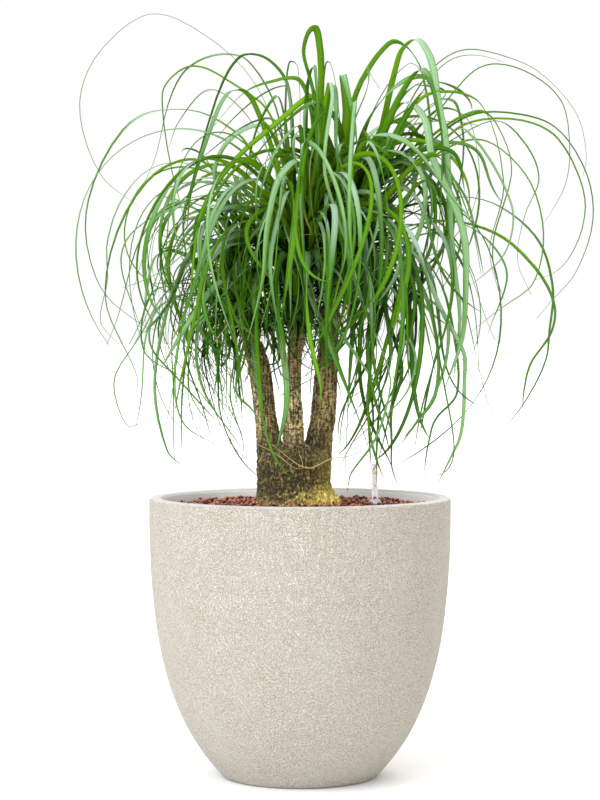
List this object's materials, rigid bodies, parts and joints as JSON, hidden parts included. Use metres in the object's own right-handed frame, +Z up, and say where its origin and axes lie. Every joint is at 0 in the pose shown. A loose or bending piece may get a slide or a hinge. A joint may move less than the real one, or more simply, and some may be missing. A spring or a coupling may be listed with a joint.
{
  "type": "potted ponytail palm",
  "caption": "Ponytail palm with stems on one swollen foot and crowns of long arching leaves, in a round planter with clay granules and a water gauge.",
  "frame": {"origin": "centre of the planter's flat foot", "axes": "+Z up along the planter's axis, -Y towards the viewer of the reference picture, +X to the viewer's right"},
  "size_m": [0.7398, 0.6001, 1.0933],
  "materials": {
    "pot": "matte",
    "grit": "matte",
    "soil": "matte",
    "granules": "matte",
    "bark": "matte",
    "leaf": "satin",
    "gauge_white": "satin",
    "gauge_clear": "gloss",
    "gauge_red": "satin"
  },
  "bodies": {
    "planted_pot": {"pot": "pot", "drainage_bed": "grit", "soil": "soil", "clay_granules": "granules", "trunk": "bark", "crown_left": "leaf", "crown_middle": "leaf", "crown_right": "leaf", "gauge_shaft": "gauge_white", "gauge_tube": "gauge_clear"},
    "float": {"gauge_float": "gauge_red"}
  },
  "joints": [
    {"name": "float_rise", "type": "slide", "parent": "planted_pot", "child": "float", "axis": [0, 0, 1], "range_m": [0, 0.042]}
  ]
}
